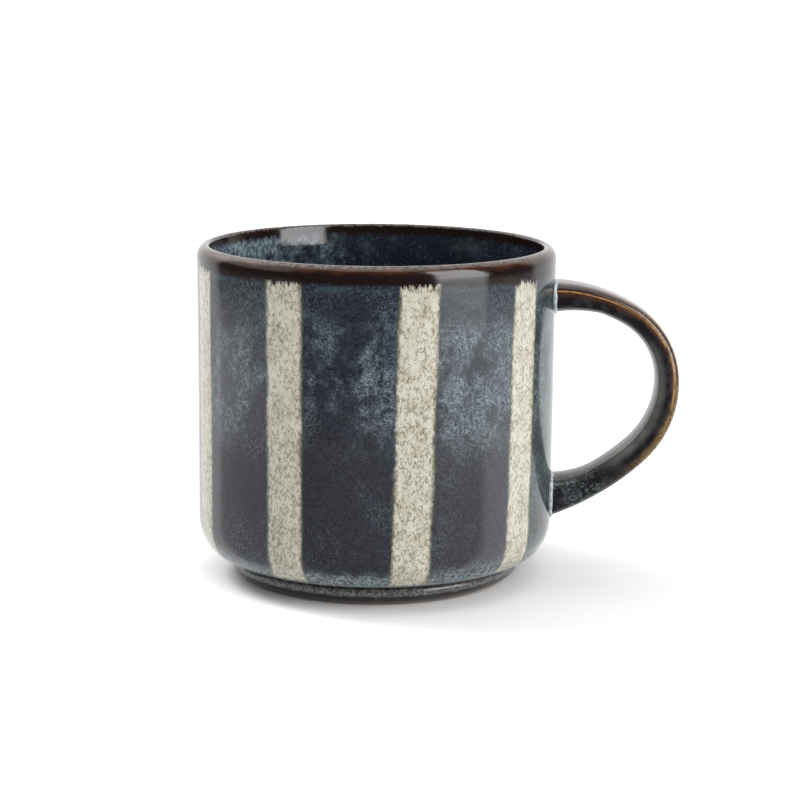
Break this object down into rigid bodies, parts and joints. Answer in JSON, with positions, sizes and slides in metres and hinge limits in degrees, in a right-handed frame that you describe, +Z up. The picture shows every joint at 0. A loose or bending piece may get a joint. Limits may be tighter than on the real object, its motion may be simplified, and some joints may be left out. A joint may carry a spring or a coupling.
{
  "type": "ceramic mug",
  "caption": "Round straight-sided stoneware mug on a turned foot ring, with a pulled strap handle, a dark mottled glaze and speckled cream vertical stripes.",
  "frame": {"origin": "centre of the foot ring, on the plane that rests on the table", "axes": "+Z up along the cup's axis, +X towards the handle, +Y by the right-hand rule"},
  "size_m": [0.1218, 0.09, 0.084],
  "materials": {
    "clay": "bare fired stoneware, matt, fine grog",
    "slip": "fired joining slip, satin",
    "liner_glaze": "glossy blue-black glaze with teal mottling",
    "rim_glaze": "glossy glaze, broken to copper brown on the lip and near black below it",
    "dark_glaze": "glossy slate-blue glaze with pale blue crystalline flecks",
    "cream_glaze": "glossy cream glaze with fine olive-brown specks",
    "foot_glaze": "glossy black glaze, greyer on the upper edge of the foot",
    "handle_glaze": "glossy brown glaze, golden on the edges and blue-black in the hollow side"
  },
  "bodies": {
    "root": {"body": "clay", "handle": "clay", "upper_slip_joint": "slip", "lower_slip_joint": "slip", "liner_glaze": "liner_glaze", "rim_glaze": "rim_glaze", "foot_glaze": "foot_glaze", "base_glaze": "foot_glaze", "handle_glaze": "handle_glaze", "cream_stripe_1": "cream_glaze", "cream_stripe_2": "cream_glaze", "cream_stripe_3": "cream_glaze", "cream_stripe_4": "cream_glaze", "cream_stripe_5": "cream_glaze", "cream_stripe_6": "cream_glaze", "cream_stripe_7": "cream_glaze", "cream_stripe_8": "cream_glaze", "cream_stripe_9": "cream_glaze", "dark_glaze_1": "dark_glaze", "dark_glaze_2": "dark_glaze", "dark_glaze_3": "dark_glaze", "dark_glaze_4": "dark_glaze", "dark_glaze_5": "dark_glaze", "dark_glaze_6": "dark_glaze", "dark_glaze_7": "dark_glaze", "dark_glaze_8": "dark_glaze", "dark_glaze_9": "dark_glaze"}
  },
  "joints": []
}
